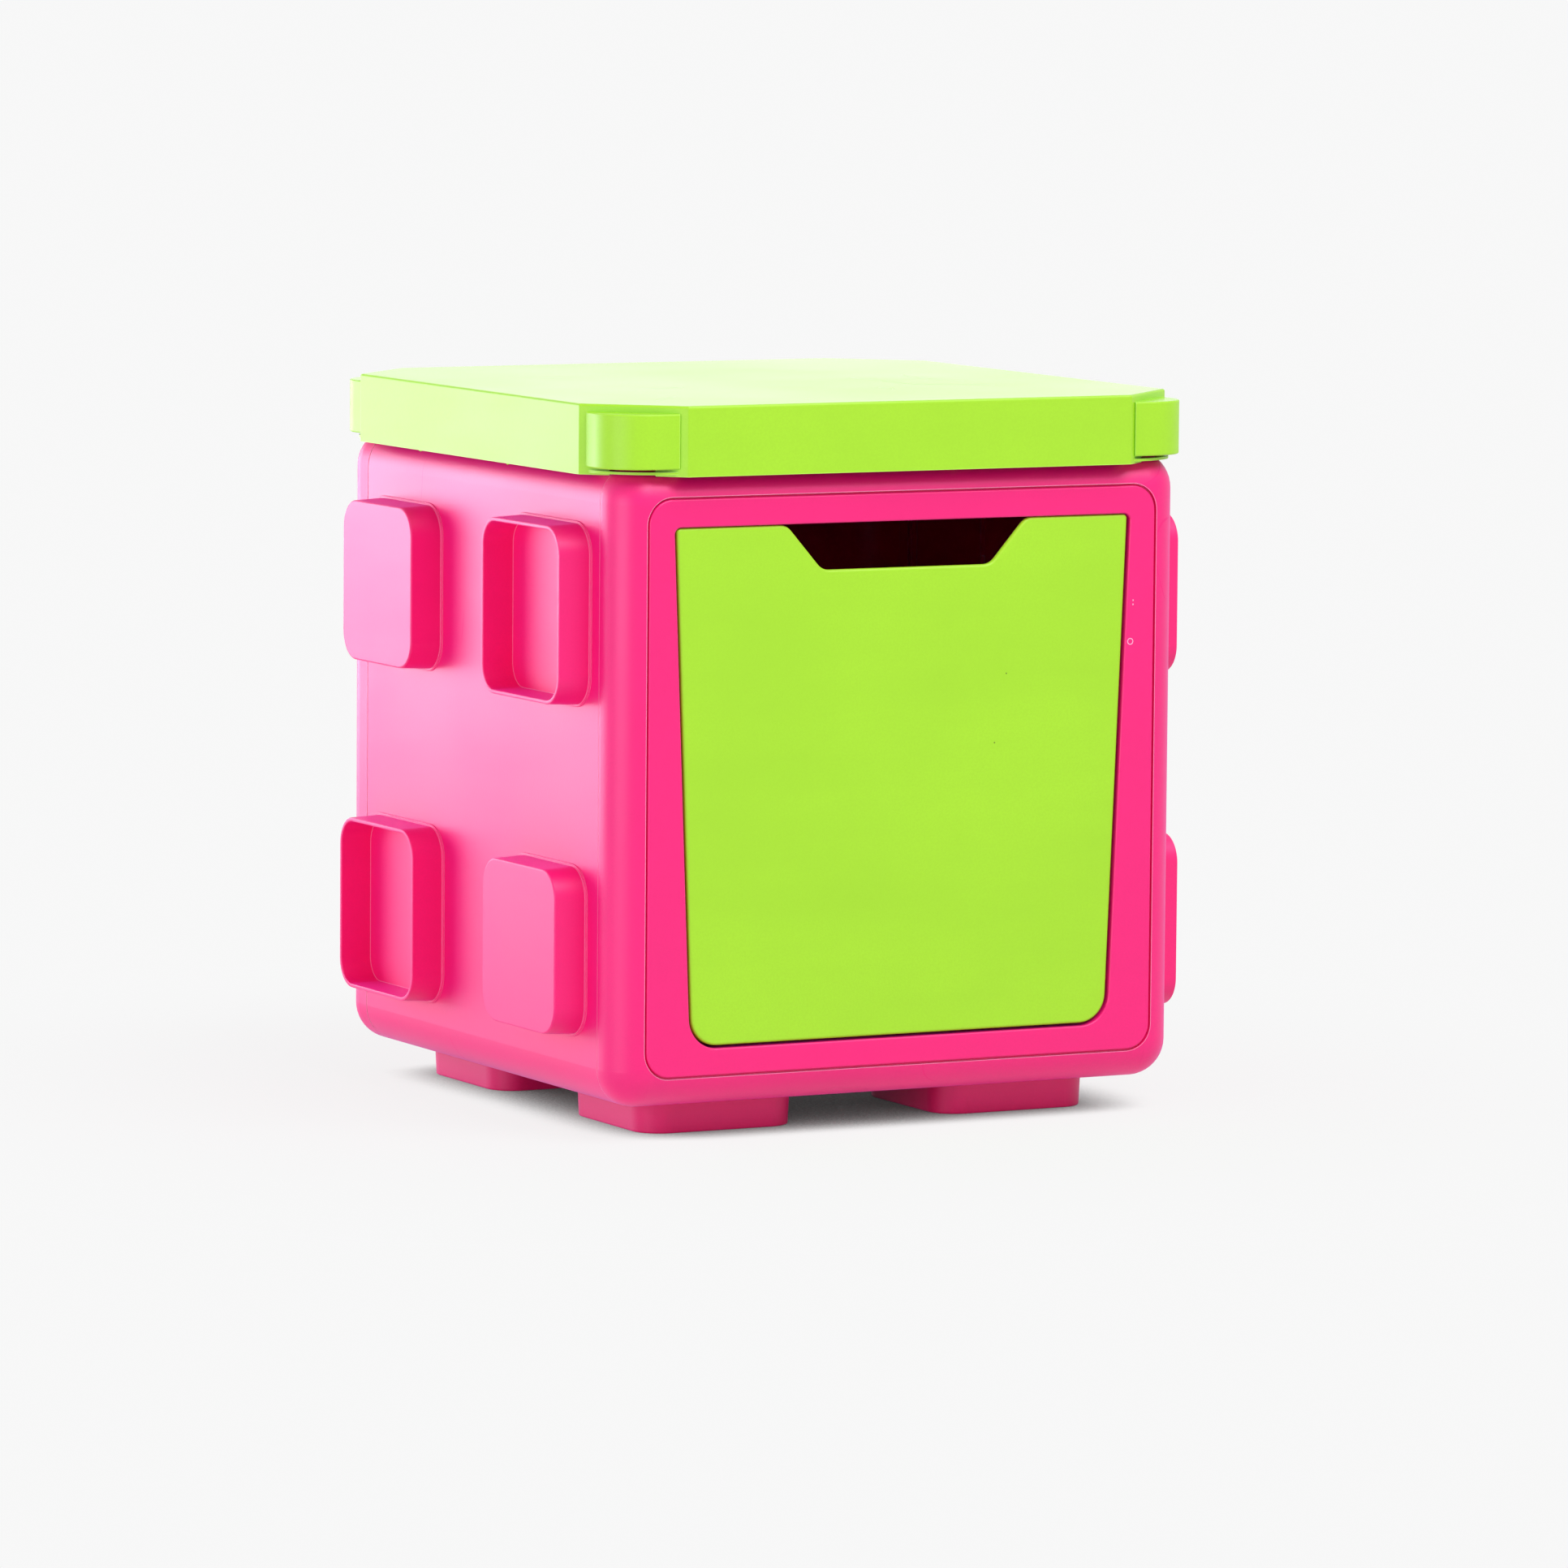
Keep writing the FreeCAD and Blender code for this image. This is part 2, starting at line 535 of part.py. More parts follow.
# ---- Lid ----------------------------------------------------------------------------------------------


def octagon(half, chamfer_loss, z):
    """Square with cut corners, whose cuts are shorter than the lid's by chamfer_loss."""
    x = half - LID_CHAMFER_X + chamfer_loss
    y = half - LID_CHAMFER_Y + chamfer_loss
    corners = [(-x, -half), (x, -half), (half, -y), (half, y), (x, half), (-x, half), (-half, y), (-half, -y)]
    return outline(corners, [LID_EDGE_R] * 8, in_plan(z))


def cut_y(x, outward):
    """y at x of the lid's cut front right corner, moved outward."""
    return -LID_HALF + (x - LID_HALF + LID_CHAMFER_X) * LID_CHAMFER_Y / LID_CHAMFER_X - outward


def cut_x(y, outward):
    """x at y of the lid's cut front right corner, moved outward."""
    return LID_HALF - LID_CHAMFER_X + (y + LID_HALF + outward) * LID_CHAMFER_X / LID_CHAMFER_Y


def clip_tongue(fit):
    """Tongue of the front right corner clip, or with a fit its slot in the lid."""
    turn = math.atan2(LID_CHAMFER_X, LID_CHAMFER_Y)
    middle_x, middle_y = LID_HALF - LID_CHAMFER_X / 2, LID_HALF - LID_CHAMFER_Y / 2
    along = middle_x * math.cos(turn) + middle_y * math.sin(turn)
    aside = middle_x * math.sin(turn) - middle_y * math.cos(turn)
    half = TONGUE_HALF + fit
    tongue = box((along - TONGUE_REACH, aside - half, TONGUE_LOW_Z - fit),
                 (along + 1 + fit, aside + half, TONGUE_HIGH_Z + fit))
    hook = box((along - TONGUE_REACH, aside - half, TONGUE_LOW_Z - HOOK_DEPTH),
               (along - WALL - HOOK_GAP, aside + half, TONGUE_LOW_Z + 1))
    shape = tongue if fit else tongue.fuse(hook)
    shape.rotate(Vector(0, 0, 0), Vector(0, 0, 1), -math.degrees(turn))
    return shape


def to_the_back(shape):
    """The same shape at the other end of the box."""
    return shape.mirror(Vector(0, 0, 0), Vector(0, 1, 0))


def four_corners(shape):
    """The front right shape at all four corners: front right, back right, back left, front left."""
    return [shape, to_the_back(shape), mirrored(to_the_back(shape)), mirrored(shape)]


def body_room():
    """Space that the lid and its clips leave free for the top of the body."""
    return slab(rectangle(BODY_CLEAR_HALF, BODY_CLEAR_HALF, BODY_CLEAR_R, in_plan(LID_LOW_Z - 1)),
                Vector(0, 0, LID_RIB_Z - LID_LOW_Z + 1))


def lid_shell():
    """Lid: top plate, skirt with cut corners and a cross of inner ribs."""
    height = LID_HIGH_Z - LID_LOW_Z
    outer = slab(octagon(LID_HALF, 0, LID_LOW_Z), Vector(0, 0, height))
    outer = outer.makeFillet(LID_EDGE_R, edges_where(outer, lambda b: b.ZMin > LID_HIGH_Z - 0.01))
    inner_loss = WALL * (2 - math.sqrt(2))
    inner = slab(octagon(LID_HALF - WALL, inner_loss, LID_LOW_Z - 1), Vector(0, 0, height - WALL + 1))
    shell = outer.cut(inner)
    inner_block = slab(octagon(LID_HALF - 1, 0, LID_RIB_Z), Vector(0, 0, LID_HIGH_Z - 1 - LID_RIB_Z))
    ribs = []
    for at in (-LID_RIB_X, LID_RIB_X):
        ribs.append(box((at - RIB / 2, -LID_HALF, LID_RIB_Z), (at + RIB / 2, LID_HALF, LID_HIGH_Z)))
        ribs.append(box((-LID_HALF, at - RIB / 2, LID_RIB_Z), (LID_HALF, at + RIB / 2, LID_HIGH_Z)))
    grid = ribs[0].fuse(ribs[1:]).common(inner_block)
    flange = slab(rectangle(FLANGE_HALF, FLANGE_HALF, FLANGE_R, in_plan(FLANGE_LOW_Z)),
                  Vector(0, 0, FLANGE_HIGH_Z - FLANGE_LOW_Z))
    corner_from = LID_HALF - LID_CHAMFER_X - 1
    corner_zones = four_corners(box((corner_from, -LID_HALF, LID_LOW_Z), (LID_HALF, -corner_from, LID_HIGH_Z)))
    flange = flange.common(corner_zones[0].fuse(corner_zones[1:]))
    lid = shell.fuse([grid, flange])
    return one_solid(lid.cut([body_room()] + four_corners(clip_tongue(SLOT_FIT))))


def clip_section(half, r, end_x, end_y, outward, z):
    """Outline of the front right clip: two straight sides, the outer round and the cut corner of the lid."""
    corners = [(end_x, cut_y(end_x, outward)), (end_x, -half), (half, -half), (half, -end_y),
               (cut_x(-end_y, outward), -end_y)]
    return outline(corners, [0, 0, r, 0, 0], in_plan(z))


def corner_clip():
    """Front right corner clip: hollow rounded block with a hooked tongue through the lid's cut corner."""
    height = CLIP_HIGH_Z - CLIP_LOW_Z
    block = slab(clip_section(CLIP_HALF, CLIP_R, CLIP_END_X, CLIP_END_Y, 0, CLIP_LOW_Z),
                 Vector(0, 0, height))
    rounded = edges_where(block, lambda b: (b.ZMin > CLIP_HIGH_Z - 0.01 or b.ZMax < CLIP_LOW_Z + 0.01)
                          and (b.XMax > CLIP_HALF - 0.01 or b.YMin < -CLIP_HALF + 0.01)
                          and b.DiagonalLength > 2)
    block = block.makeFillet(CLIP_EDGE_R, rounded)
    hollow = slab(clip_section(CLIP_HALF - CLIP_WALL, CLIP_R - CLIP_WALL, CLIP_END_X + CLIP_END_WALL,
                               CLIP_END_Y + CLIP_END_WALL, CLIP_BACK_WALL, CLIP_LOW_Z - 1),
                  Vector(0, 0, height - CLIP_WALL + 1))
    return one_solid(block.cut([hollow, body_room()]).fuse(clip_tongue(0)))


# ---- Assembly -----------------------------------------------------------------------------------------


def all_nodes():
    """Every piece by its node name."""
    nodes = {"main_shell": main_shell(), "back_cover": back_cover(), "front_frame": front_frame()}
    side_stud, side_socket = stud(STUD_HALF), socket(SOCKET_HALF)
    upper, lower = MID_Z + LUG_PITCH, MID_Z - LUG_PITCH
    for side, name in ((-1, "left"), (1, "right")):
        first, second = (side_stud, side_socket) if side < 0 else (side_socket, side_stud)
        first_name, second_name = ("stud", "socket") if side < 0 else ("socket", "stud")
        nodes["%s_%s_upper_back" % (name, first_name)] = on_side(first, side, LUG_PITCH, upper)
        nodes["%s_%s_lower_front" % (name, first_name)] = on_side(first, side, -LUG_PITCH, lower)
        nodes["%s_%s_upper_front" % (name, second_name)] = on_side(second, side, -LUG_PITCH, upper)
        nodes["%s_%s_lower_back" % (name, second_name)] = on_side(second, side, LUG_PITCH, lower)
    foot, top_socket = stud(FOOT_HALF), socket(TOP_SOCKET_HALF)
    clips = four_corners(corner_clip())
    corners = (("front_right", 1, -1), ("back_right", 1, 1), ("back_left", -1, 1), ("front_left", -1, -1))
    for clip, (place, x, y) in zip(clips, corners):
        nodes["foot_" + place] = on_level(foot, False, x * LUG_PITCH, y * LUG_PITCH)
        nodes["top_socket_" + place] = on_level(top_socket, True, x * LUG_PITCH, y * LUG_PITCH)
        nodes["corner_clip_" + place] = clip
    nodes["door_panel"] = door_panel()
    nodes["hinge_pin_right"] = hinge_pin()
    nodes["hinge_pin_left"] = mirrored(hinge_pin())
    nodes["lid_shell"] = lid_shell()
    return nodes


os.makedirs("parts", exist_ok=True)
for node, shape in all_nodes().items():
    shape.exportStep("parts/%s.step" % node)
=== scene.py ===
import math

import bpy
from bpy.props import FloatProperty, FloatVectorProperty, PointerProperty
from mathutils import Matrix, Vector


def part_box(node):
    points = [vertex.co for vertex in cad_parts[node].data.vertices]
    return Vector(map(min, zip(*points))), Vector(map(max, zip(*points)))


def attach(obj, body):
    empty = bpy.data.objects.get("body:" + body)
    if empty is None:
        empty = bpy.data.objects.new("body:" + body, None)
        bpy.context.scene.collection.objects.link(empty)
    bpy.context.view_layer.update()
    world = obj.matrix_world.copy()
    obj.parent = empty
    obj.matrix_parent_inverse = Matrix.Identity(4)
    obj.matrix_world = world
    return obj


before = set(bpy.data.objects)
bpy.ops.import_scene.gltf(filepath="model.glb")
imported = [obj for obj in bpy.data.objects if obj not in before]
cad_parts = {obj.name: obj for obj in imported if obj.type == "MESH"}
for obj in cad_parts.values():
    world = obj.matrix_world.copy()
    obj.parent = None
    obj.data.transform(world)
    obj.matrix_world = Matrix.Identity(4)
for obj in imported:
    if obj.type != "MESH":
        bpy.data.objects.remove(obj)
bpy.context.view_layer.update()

bl_info = {
    "name": "Storage cube finish",
    "version": (1, 0, 0),
    "blender": (4, 5, 0),
    "location": "View3D > Sidebar > Cube",
    "description": "Moulded plastic finish, small moulding marks and a studio "
                   "for the toy storage cube",
    "category": "Object",
}

# The pieces, by what they are --------------------------------------------------------------------

SHELL_NODES = ("main_shell", "back_cover")
FRAME_NODES = ("front_frame", "hinge_pin_left", "hinge_pin_right")
LUG_NODES = tuple(n for n in sorted(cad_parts) if "_stud_" in n or "_socket_" in n)
FOOT_NODES = tuple(n for n in sorted(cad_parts) if n.startswith("foot_"))
DOOR_NODES = ("door_panel",)
LID_NODES = ("lid_shell",)
CLIP_NODES = tuple(n for n in sorted(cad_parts) if n.startswith("corner_clip_"))

# Numbers of the moulding marks, in metres unless said otherwise ----------------------------------

FRONT_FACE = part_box("front_frame")[0][1]
DOOR_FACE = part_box("door_panel")[0][1]
LID_LEFT_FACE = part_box("lid_shell")[0][0]
LID_LOWER_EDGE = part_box("lid_shell")[0][2]

RING_PLACE = (0.1416, FRONT_FACE, 0.264)
FRAME_BEAD_PLACES = tuple((0.1431, FRONT_FACE, z) for z in (0.2845, 0.2868))
LID_FLASH_DEPTHS = (0.062, -0.05)
DOOR_SPECK_PLACES = tuple((x, DOOR_FACE, z) for x, z in ((0.064, 0.249), (0.057, 0.211)))

# Width, depth and height of the beads, in bead sizes
FRAME_BEAD_SHAPE = (0.5, 0.3, 0.7)
LID_FLASH_SHAPE = (0.8, 2.0, 0.8)
DOOR_SPECK_SHAPE = (0.6, 0.2, 0.6)

RING_SIDES = 40
RING_BAND = 0.26  # width of the ring, as a share of its radius
RING_ROUNDING = 0.4  # as a share of the ring's height
BEAD_CUTS = 3
BEAD_SWELLING = 0.6
BEAD_ROUNDING = 0.06  # as a share of the bead's smallest side
ROUNDING_SEGMENTS = 2

# Numbers of the plastic --------------------------------------------------------------------------

PLAIN_IOR = 1.49
PINK_IOR = 1.68
PINK_SPECULAR_TINT = (1.0, 0.72, 1.0, 1)
HAZE_ROUGHNESS = 0.4
HAZE_TINT = (0.6, 0.1, 1.0, 1)

# The drift of tone runs between two shades of the colour and swings the roughness a little
DRIFT_RANGE = (0.3, 0.7)
DRIFT_SHADES = (0.96, 1.04)
DRIFT_ROUGHNESS = 0.03
SPECKLE_SHARE = 0.35
SPECKLE_SHADE = 0.93

# Where each material reads the drift, so that no two of them match
DRIFT_SEEDS = {
    "pink_main_shell": 0.0,
    "pink_back_cover": 3.1,
    "pink_frame": 11.7,
    "pink_lugs": 5.3,
    "pink_feet": 8.9,
    "lime_door": 2.2,
    "lime_lid": 14.1,
    "lime_clips": 17.4,
    "pink_marks": 21.0,
    "lime_marks": 23.0,
    "lime_specks": 25.0,
}

# How some pieces differ from the plain plastic
SHELL_SCUFFS = 0.25
LUG_GRAIN = 0.6
LUG_EXTRA_ROUGHNESS = 0.03
FOOT_SCUFFS = 0.2
FOOT_EXTRA_ROUGHNESS = 0.06
# The feet are painted darker: painted shade for the shadow under the box.
FOOT_PAINTED_SHADE = 0.82
DOOR_GRAIN = 1.5
LID_SCUFFS = 0.25
SPECK_SHADE = 0.4

# Moulded grain: pebbles with sand on them
PEBBLE_DETAIL, PEBBLE_ROUGHNESS = 1.5, 0.55
SAND_DETAIL, SAND_ROUGHNESS = 1.0, 0.5
SAND_FINENESS = 2.7
SAND_HEIGHT = 0.35
SPECKLE_RANGE = (0.35, 0.65)

# Drift of tone: a cloud, and flow lines that are squeezed upright
CLOUD_SCALE, CLOUD_SHARE = 7.0, 0.7
FLOW_SCALES, FLOW_SHARE = (6.0, 6.0, 38.0), 0.3
FLOW_DETAIL, FLOW_ROUGHNESS = 2.0, 0.6

# Scuffs: threads where a noise crosses its middle, kept in patches of another noise
SCUFF_SCALE = 9.0
SCUFF_MIDDLE = 0.5
SCUFF_WIDTH = 0.0022
PATCH_SCALE, PATCH_DETAIL = 14.0, 1.0
PATCH_RANGE = (0.56, 0.66)

# How far two normals agree on a highlighted edge and off it, and when a face counts as looking up
EDGE_SAMPLES = 6
EDGE_RANGE = (0.8, 0.99)
UPWARD_RANGE = (0.7, 0.97)

# Numbers of the studio, in metres and degrees ----------------------------------------------------

FLOOR_RADIUS = 60.0
FLOOR_SIDES = 96
FLOOR_COLOUR = (0.8, 0.8, 0.8, 1)
CONTACT_SAMPLES = 16
PAINTED_SIDE_LIGHT = (-0.19, -0.1)  # across: where painted light, in place of the side lamp's light, lifts the painted shadow fully, and not at all
PAINTED_SIDE_LIGHT_AMOUNT = 0.16
PAPER_SCALE = 700.0
PAPER_RANGE = (0.3, 0.7)
PAPER_POWERS = (0.88, 1.12)
CAST_SHADOW_FADE = (0.22, 0.6)  # distance from the middle at which the lamps' shadow fades out
WHITE = (1, 1, 1, 1)

# Each lamp's place, the point that it is aimed at, its width and height, and its tint
BOX_MIDDLE = (0, 0, 0.2)
LID_MIDDLE = (0, 0, 0.4)
LAMPS = {
    "side": ((-0.98, 1.65, 0.29), BOX_MIDDLE, (1.9, 0.85), (0.86, 0.88, 1.0)),
    "fill": ((-2.4, -1.0, 0.45), BOX_MIDDLE, (1.5, 0.9), (1, 1, 1)),
    "back": ((1.0, 3.0, 0.95), LID_MIDDLE, (1.8, 1.4), (1, 1, 1)),
    "front": ((0.6, -1.8, 2.7), BOX_MIDDLE, (2.2, 1.8), (1, 1, 1)),
}

CAMERA_PLACE = (-2.3565, -4.543, 0.7169)
CAMERA_YAW, CAMERA_PITCH, CAMERA_ROLL = 27.59, -6.06, 0.45
SENSOR_WIDTH = 36  # millimetres
VIEW_DEPTH = 200


# Settings ----------------------------------------------------------------------------------------


class PlasticSettings(bpy.types.PropertyGroup):
    """Colours and surface of the two plastics."""

    pink: FloatVectorProperty(
        name="Pink", description="Colour of the box, its frame and its lugs",
        default=(0.94, 0.001, 0.185), subtype="COLOR", min=0, max=1)
    lime: FloatVectorProperty(
        name="Lime", description="Colour of the door and the lid",
        default=(0.39, 0.757, 0.021), subtype="COLOR", min=0, max=1)
    # The edge colours below are painted highlights: a lighter colour laid along the edges, where a
    # glint of light would fall.
    pink_edge_highlight: FloatVectorProperty(
        name="Pink edges", description="Colour of the pink plastic where its edges are rubbed",
        default=(1.0, 0.42, 0.68), subtype="COLOR", min=0, max=1)
    lime_edge_highlight: FloatVectorProperty(
        name="Lime edges", description="Colour of the lime plastic where its edges are rubbed",
        default=(0.62, 0.95, 0.2), subtype="COLOR", min=0, max=1)
    edge_width: FloatProperty(
        name="Edge width", description="Width of the rubbed edges",
        default=0.0009, unit="LENGTH", min=0.0001, max=0.01, precision=4)
    # How strongly the painted edge highlight shows.
    edge_highlight_strength: FloatProperty(
        name="Edge rub", description="How much of the edge colour the edges show",
        default=0.9, subtype="FACTOR", min=0, max=1)
    haze: FloatProperty(
        name="Haze", description="Strength of the violet haze on the pink plastic",
        default=0.22, subtype="FACTOR", min=0, max=1)
    body_roughness: FloatProperty(
        name="Box roughness", description="Roughness of the pink faces",
        default=0.42, subtype="FACTOR", min=0, max=1)
    door_roughness: FloatProperty(
        name="Door roughness", description="Roughness of the door",
        default=0.42, subtype="FACTOR", min=0, max=1)
    lid_roughness: FloatProperty(
        name="Lid roughness", description="Roughness of the lid",
        default=0.43, subtype="FACTOR", min=0, max=1)
    lid_polish: FloatProperty(
        name="Lid polish", description="How much glossier the lid's upward faces are",
        default=0.19, subtype="FACTOR", min=0, max=1)
    grain_size: FloatProperty(
        name="Grain size", description="Distance between two bumps of the moulded grain",
        default=0.0011, unit="LENGTH", min=0.0002, max=0.01, precision=4)
    grain_depth: FloatProperty(
        name="Grain depth", description="Height of the moulded grain",
        default=0.00003, unit="LENGTH", min=0, max=0.001, precision=5)


class MarkSettings(bpy.types.PropertyGroup):
    """Sizes of the small marks that moulding left."""

    ring_radius: FloatProperty(
        name="Ring radius", description="Radius of the ring that an ejector left",
        default=0.0019, unit="LENGTH", min=0.0005, max=0.01, precision=4)
    height: FloatProperty(
        name="Mark height", description="How far the ring stands out of the frame",
        default=0.00016, unit="LENGTH", min=0.00002, max=0.001, precision=5)
    bead_size: FloatProperty(
        name="Bead size", description="Size of the beads of flash",
        default=0.0011, unit="LENGTH", min=0.0002, max=0.005, precision=4)


class StudioSettings(bpy.types.PropertyGroup):
    """Lens, floor and light of the studio."""

    lens: FloatProperty(
        name="Lens", description="Focal length of the camera in millimetres",
        default=209.33, min=20, max=400)
    backdrop: FloatProperty(
        name="Backdrop", description="Brightness of the pale backdrop and floor",
        default=0.935, subtype="FACTOR", min=0, max=1)
    # Reach, core and edge shape the painted soft shadow on the floor.
    shadow_reach: FloatProperty(
        name="Shadow reach", description="How far the soft shadow reaches round the feet",
        default=0.1, unit="LENGTH", min=0.01, max=1)
    shadow_core: FloatProperty(
        name="Shadow core", description="Openness to the room at which the floor is darkest",
        default=-0.04, min=-0.2, max=1)
    shadow_edge: FloatProperty(
        name="Shadow edge",
        description="Openness to the room at which the floor has no soft shadow",
        default=0.5, subtype="FACTOR", min=0, max=1)
    cast_shadow: FloatProperty(
        name="Cast shadow", description="Share of the lamps' own shadow on the floor",
        default=0.1, subtype="FACTOR", min=0, max=1)
    side_power: FloatProperty(
        name="Side lamp", description="Power of the soft lamp that stands behind the left side",
        default=29.0, unit="POWER", min=0)
    fill_power: FloatProperty(
        name="Fill lamp", description="Power of the soft lamp to the left",
        default=16.0, unit="POWER", min=0)
    back_power: FloatProperty(
        name="Back lamp",
        description="Power of the soft lamp that glances over the lid from behind",
        default=4.0, unit="POWER", min=0)
    front_power: FloatProperty(
        name="Front lamp", description="Power of the soft lamp in front and above",
        default=69.0, unit="POWER", min=0)
    room: FloatProperty(
        name="Room light", description="Strength of the even light from all sides",
        default=0.45, min=0, max=2)


# Shader nodes ------------------------------------------------------------------------------------


def feed(tree, value, socket):
    """Link a socket to an input, or set the input to a plain value."""
    if isinstance(value, bpy.types.NodeSocket):
        tree.links.new(value, socket)
    else:
        socket.default_value = value


def math_node(tree, operation, a, b=None):
    """Math node fed by sockets or plain numbers; returns its output."""
    node = tree.nodes.new("ShaderNodeMath")
    node.operation = operation
    feed(tree, a, node.inputs[0])
    if b is not None:
        feed(tree, b, node.inputs[1])
    return node.outputs[0]


def noise_node(tree, vector, scale, detail=2.0, roughness=0.5):
    """Noise texture; returns its factor."""
    node = tree.nodes.new("ShaderNodeTexNoise")
    node.inputs["Detail"].default_value = detail
    node.inputs["Roughness"].default_value = roughness
    tree.links.new(vector, node.inputs["Vector"])
    feed(tree, scale, node.inputs["Scale"])
    return node.outputs["Fac"]


def ramp(tree, value, low, high, to_low=0.0, to_high=1.0):
    """Map a value from low..high to to_low..to_high, clamped and eased."""
    node = tree.nodes.new("ShaderNodeMapRange")
    node.interpolation_type = "SMOOTHSTEP"
    node.inputs["From Min"].default_value = low
    node.inputs["From Max"].default_value = high
    node.inputs["To Min"].default_value = to_low
    node.inputs["To Max"].default_value = to_high
    tree.links.new(value, node.inputs["Value"])
    return node.outputs["Result"]


def mix_colour(tree, factor, a, b):
    """Mix two colours (sockets or plain colours) by a factor; returns the colour."""
    node = tree.nodes.new("ShaderNodeMix")
    node.data_type = "RGBA"
    for label, colour in (("A", a), ("B", b)):
        socket = next(i for i in node.inputs if i.name == label and i.type == "RGBA")
        plain = not isinstance(colour, bpy.types.NodeSocket)
        feed(tree, (*colour, 1) if plain else colour, socket)
    tree.links.new(factor, node.inputs["Factor"])
    return next(o for o in node.outputs if o.type == "RGBA")


def mix_surfaces(tree, factor, a, b, end):
    """Mix two shaders by a factor and link the mix to the surface of the end node."""
    node = tree.nodes.new("ShaderNodeMixShader")
    tree.links.new(factor, node.inputs["Fac"])
    tree.links.new(a.outputs[0], node.inputs[1])
    tree.links.new(b.outputs[0], node.inputs[2])
    tree.links.new(node.outputs[0], end.inputs["Surface"])


def seen_ray(tree):
    """1 for a ray from the camera, off a glossy face or through a clear one, else 0."""
    path = tree.nodes.new("ShaderNodeLightPath")
    seen = math_node(tree, "MAXIMUM", path.outputs["Is Camera Ray"], path.outputs["Is Glossy Ray"])
    return math_node(tree, "MAXIMUM", seen, path.outputs["Is Transmission Ray"])


# Shader groups -----------------------------------------------------------------------------------


def new_group(name, inputs, outputs):
    """Empty shader group with inputs {name: default}, where None makes a vector, and outputs."""
    group = bpy.data.node_groups.new(name, "ShaderNodeTree")
    for label, default in inputs.items():
        kind = "NodeSocketVector" if default is None else "NodeSocketFloat"
        socket = group.interface.new_socket(label, in_out="INPUT", socket_type=kind)
        if default is not None:
            socket.default_value = default
    for label in outputs:
        group.interface.new_socket(label, in_out="OUTPUT", socket_type="NodeSocketFloat")
    return group, group.nodes.new("NodeGroupInput"), group.nodes.new("NodeGroupOutput")


def make_grain_group(name):
    """Moulded grain: fine rounded pebbles with a finer sandblast on top."""
    group, entry, leave = new_group(name, {"Vector": None, "Scale": 900.0}, ("Height", "Speckle"))
    vector, scale = entry.outputs["Vector"], entry.outputs["Scale"]
    pebbles = noise_node(group, vector, scale, PEBBLE_DETAIL, PEBBLE_ROUGHNESS)
    sand_scale = math_node(group, "MULTIPLY", scale, SAND_FINENESS)
    sand = noise_node(group, vector, sand_scale, SAND_DETAIL, SAND_ROUGHNESS)
    height = math_node(group, "ADD", pebbles, math_node(group, "MULTIPLY", sand, SAND_HEIGHT))
    group.links.new(height, leave.inputs["Height"])
    group.links.new(ramp(group, pebbles, *SPECKLE_RANGE), leave.inputs["Speckle"])
    return group


def make_drift_group(name):
    """Slow drift of tone over a moulding, and the faint flow lines left by the melt."""
    group, entry, leave = new_group(name, {"Vector": None, "Seed": 0.0}, ("Drift",))
    shift = group.nodes.new("ShaderNodeVectorMath")
    shift.operation = "ADD"
    group.links.new(entry.outputs["Vector"], shift.inputs[0])
    group.links.new(entry.outputs["Seed"], shift.inputs[1])
    cloud = noise_node(group, shift.outputs[0], CLOUD_SCALE)
    stretch = group.nodes.new("ShaderNodeMapping")
    stretch.inputs["Scale"].default_value = FLOW_SCALES
    group.links.new(shift.outputs[0], stretch.inputs["Vector"])
    flow = noise_node(group, stretch.outputs[0], 1.0, FLOW_DETAIL, FLOW_ROUGHNESS)
    cloud = math_node(group, "MULTIPLY", cloud, CLOUD_SHARE)
    flow = math_node(group, "MULTIPLY", flow, FLOW_SHARE)
    group.links.new(math_node(group, "ADD", cloud, flow), leave.inputs["Drift"])
    return group


def make_scuff_group(name):
    """Hairline scuffs from handling: thin curved threads, in a few patches only."""
    group, entry, leave = new_group(name, {"Vector": None, "Scale": SCUFF_SCALE}, ("Mask",))
    vector, scale = entry.outputs["Vector"], entry.outputs["Scale"]
    thread = noise_node(group, vector, scale, 0.0)
    offset = math_node(group, "SUBTRACT", thread, SCUFF_MIDDLE)
    line = ramp(group, math_node(group, "ABSOLUTE", offset), 0.0, SCUFF_WIDTH, 1.0, 0.0)
    patches = ramp(group, noise_node(group, vector, PATCH_SCALE, PATCH_DETAIL), *PATCH_RANGE)
    group.links.new(math_node(group, "MULTIPLY", line, patches), leave.inputs["Mask"])
    return group


def make_edge_highlight_group(name):
    """Mask of the painted edge highlights: where the faces round about turn away from the surface.
    """
    group, entry, leave = new_group(name, {"Width": 0.0009}, ("Mask",))
    around = group.nodes.new("ShaderNodeBevel")
    around.samples = EDGE_SAMPLES
    group.links.new(entry.outputs["Width"], around.inputs["Radius"])
    surface = group.nodes.new("ShaderNodeNewGeometry")
    agreement = group.nodes.new("ShaderNodeVectorMath")
    agreement.operation = "DOT_PRODUCT"
    group.links.new(around.outputs["Normal"], agreement.inputs[0])
    group.links.new(surface.outputs["Normal"], agreement.inputs[1])
    mask = ramp(group, agreement.outputs["Value"], *EDGE_RANGE, 1.0, 0.0)
    group.links.new(mask, leave.inputs["Mask"])
    return group


def make_upward_group(name):
    """Mask of the faces that look up."""
    group, _, leave = new_group(name, {}, ("Mask",))
    normal = group.nodes.new("ShaderNodeTexCoord").outputs["Normal"]
    axes = group.nodes.new("ShaderNodeSeparateXYZ")
    group.links.new(normal, axes.inputs[0])
    group.links.new(ramp(group, axes.outputs["Z"], *UPWARD_RANGE), leave.inputs["Mask"])
    return group


